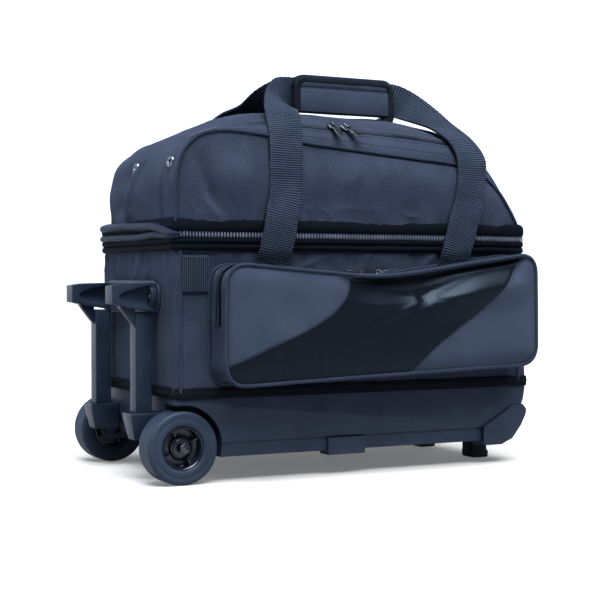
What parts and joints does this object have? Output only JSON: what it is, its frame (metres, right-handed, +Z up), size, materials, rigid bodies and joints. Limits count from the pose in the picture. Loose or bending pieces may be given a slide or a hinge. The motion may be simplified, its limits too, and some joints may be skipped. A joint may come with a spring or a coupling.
{
  "type": "bowling ball bag",
  "caption": "Wheeled bowling bag: hinged zipped lid over a padded ball bay, front pocket, fold-away carry straps with a padded grip, and a telescopic tow handle.",
  "frame": {"origin": "middle of the footprint box, on the floor", "axes": "+X along the bag away from the wheels, -Y out of the front pocket, +Z up"},
  "size_m": [0.5792, 0.3504, 0.5185],
  "materials": {
    "tray_plastic": "fine texture, satin",
    "foot_rubber": "matt",
    "bolt_steel": "dark zinc",
    "shell_fabric": "tight polyester weave",
    "satin_fabric": "satin twill",
    "webbing": "ribbed webbing",
    "board": "plain",
    "lining": "plain lining",
    "foam": "closed-cell foam",
    "zip_coil": "nylon coil",
    "handle_plastic": "fine spark texture",
    "tube_metal": "satin black",
    "wheel_rubber": "smooth grey-blue",
    "hub_plastic": "semi-gloss",
    "eyelet_metal": "dark nickel",
    "zip_metal": "gunmetal"
  },
  "bodies": {
    "bag": {"tray": "tray_plastic", "corner_skid_front": "tray_plastic", "corner_skid_rear": "tray_plastic", "foot_front": "foot_rubber", "foot_rear": "foot_rubber", "axle_bolt_front": "bolt_steel", "axle_bolt_rear": "bolt_steel", "lower_shell": "shell_fabric", "binding_tape": "webbing", "lower_zip_tape": "webbing", "base_board": "board", "ball_divider": "lining", "ball_cup_left": "foam", "ball_cup_right": "foam", "pocket_box": "shell_fabric", "pocket_lower": "satin_fabric", "webbing_patch": "webbing", "dock_plate": "handle_plastic", "socket_front": "handle_plastic", "socket_rear": "handle_plastic", "rod_front": "tube_metal", "rod_rear": "tube_metal"},
    "lid": {"lid_shell": "shell_fabric", "upper_zip_tape": "webbing", "shoe_floor": "board", "top_zip": "zip_coil", "eyelet_front": "eyelet_metal", "eyelet_middle": "eyelet_metal"},
    "front_strap": {"front_strap": "webbing", "grip_pad": "shell_fabric"},
    "rear_strap": {"rear_strap": "webbing"},
    "front_wheel": {"tyre_front": "wheel_rubber", "hub_front": "hub_plastic"},
    "rear_wheel": {"tyre_rear": "wheel_rubber", "hub_rear": "hub_plastic"},
    "pocket_flap": {"pocket_flap": "satin_fabric"},
    "tube_stage_c": {"tube_c_front": "tube_metal", "tube_c_rear": "tube_metal"},
    "tube_stage_b": {"tube_b_front": "tube_metal", "tube_b_rear": "tube_metal"},
    "tube_stage_a": {"tube_a_front": "tube_metal", "tube_a_rear": "tube_metal"},
    "handle": {"handle_head": "handle_plastic", "post_front": "handle_plastic", "post_rear": "handle_plastic", "head_screw_front": "bolt_steel", "head_screw_rear": "bolt_steel"},
    "slider_top_left": {"slider_top_left": "zip_metal"},
    "pull_top_left": {"pull_top_left": "zip_metal"},
    "slider_top_right": {"slider_top_right": "zip_metal"},
    "pull_top_right": {"pull_top_right": "zip_metal"},
    "slider_pocket_left": {"slider_pocket_left": "zip_metal"},
    "pull_pocket_left": {"pull_pocket_left": "zip_metal"},
    "slider_pocket_right": {"slider_pocket_right": "zip_metal"},
    "pull_pocket_right": {"pull_pocket_right": "zip_metal"},
    "slider_main_front": {"slider_main_front": "zip_metal"},
    "pull_main_front": {"pull_main_front": "zip_metal"},
    "slider_main_rear": {"slider_main_rear": "zip_metal"},
    "pull_main_rear": {"pull_main_rear": "zip_metal"}
  },
  "joints": [
    {"name": "handle_stage_1", "type": "slide", "parent": "bag", "child": "tube_stage_c", "axis": [0, 0, 1], "range_m": [0, 0.12]},
    {"name": "handle_stage_2", "type": "slide", "parent": "tube_stage_c", "child": "tube_stage_b", "axis": [0, 0, 1], "range_m": [0, 0.12]},
    {"name": "handle_stage_3", "type": "slide", "parent": "tube_stage_b", "child": "tube_stage_a", "axis": [0, 0, 1], "range_m": [0, 0.12]},
    {"name": "handle_stage_4", "type": "slide", "parent": "tube_stage_a", "child": "handle", "axis": [0, 0, 1], "range_m": [0, 0.12]},
    {"name": "lid_hinge", "type": "hinge", "parent": "bag", "child": "lid", "pos_m": [0.0254, 0.1708, 0.3008], "axis": [-1, 0, 0], "range_deg": [0, 52]},
    {"name": "front_strap_fold", "type": "hinge", "parent": "bag", "child": "front_strap", "pos_m": [0.0254, -0.1332, 0.283], "axis": [1, 0, 0], "range_deg": [0, 93.6]},
    {"name": "rear_strap_fold", "type": "hinge", "parent": "bag", "child": "rear_strap", "pos_m": [0.0254, 0.1728, 0.283], "axis": [-1, 0, 0], "range_deg": [0, 93.6]},
    {"name": "front_wheel_spin", "type": "hinge", "parent": "bag", "child": "front_wheel", "pos_m": [-0.2181, -0.1072, 0.045], "axis": [0, 1, 0], "continuous": true},
    {"name": "rear_wheel_spin", "type": "hinge", "parent": "bag", "child": "rear_wheel", "pos_m": [-0.2181, 0.1468, 0.045], "axis": [0, 1, 0], "continuous": true},
    {"name": "pocket_flap_hinge", "type": "hinge", "parent": "bag", "child": "pocket_flap", "pos_m": [0.0254, -0.1755, 0.186], "axis": [1, 0, 0], "range_deg": [0, 45]},
    {"name": "slider_top_left_slide", "type": "slide", "parent": "lid", "child": "slider_top_left", "axis": [-0.9988, 0, 0.0499], "range_m": [0, 0.03]},
    {"name": "pull_top_left_hinge", "type": "hinge", "parent": "slider_top_left", "child": "pull_top_left", "pos_m": [-0.0076, -0.11104, 0.44657], "axis": [-0.9968, -0.0632, -0.0488], "range_deg": [0, 140]},
    {"name": "slider_top_right_slide", "type": "slide", "parent": "lid", "child": "slider_top_right", "axis": [0.9987, 0, -0.0519], "range_m": [0, 0.07]},
    {"name": "pull_top_right_hinge", "type": "hinge", "parent": "slider_top_right", "child": "pull_top_right", "pos_m": [0.0124, -0.11105, 0.44516], "axis": [-0.9083, -0.331, -0.2556], "range_deg": [0, 140]},
    {"name": "slider_pocket_left_slide", "type": "slide", "parent": "bag", "child": "slider_pocket_left", "axis": [-0.9964, 0, 0.0842], "range_m": [0, 0.07]},
    {"name": "pull_pocket_left_hinge", "type": "hinge", "parent": "slider_pocket_left", "child": "pull_pocket_left", "pos_m": [0.01668, -0.1465, 0.25789], "axis": [0, 1, 0], "range_deg": [0, 140]},
    {"name": "slider_pocket_right_slide", "type": "slide", "parent": "bag", "child": "slider_pocket_right", "axis": [0.9901, 0, 0.1402], "range_m": [0, 0.17]},
    {"name": "pull_pocket_right_hinge", "type": "hinge", "parent": "slider_pocket_right", "child": "pull_pocket_right", "pos_m": [0.03991, -0.1465, 0.25867], "axis": [0, -1, 0], "range_deg": [0, 140]},
    {"name": "slider_main_front_slide", "type": "slide", "parent": "bag", "child": "slider_main_front", "axis": [0, -1, 0], "range_m": [0, 0.11]},
    {"name": "pull_main_front_hinge", "type": "hinge", "parent": "slider_main_front", "child": "pull_main_front", "pos_m": [0.2871, 0.0078, 0.3015], "axis": [0, -1, 0], "range_deg": [0, 140]},
    {"name": "slider_main_rear_slide", "type": "slide", "parent": "bag", "child": "slider_main_rear", "axis": [0, 1, 0], "range_m": [0, 0.08]},
    {"name": "pull_main_rear_hinge", "type": "hinge", "parent": "slider_main_rear", "child": "pull_main_rear", "pos_m": [0.2871, 0.0318, 0.3015], "axis": [0, -1, 0], "range_deg": [0, 140]}
  ],
  "couplings": [
    {"joint": "handle_stage_2", "follows": "handle_stage_1", "ratio": 1},
    {"joint": "handle_stage_3", "follows": "handle_stage_1", "ratio": 1},
    {"joint": "handle_stage_4", "follows": "handle_stage_1", "ratio": 1},
    {"joint": "front_strap_fold", "follows": "lid_hinge", "ratio": 1.8},
    {"joint": "rear_strap_fold", "follows": "lid_hinge", "ratio": 1.8}
  ]
}
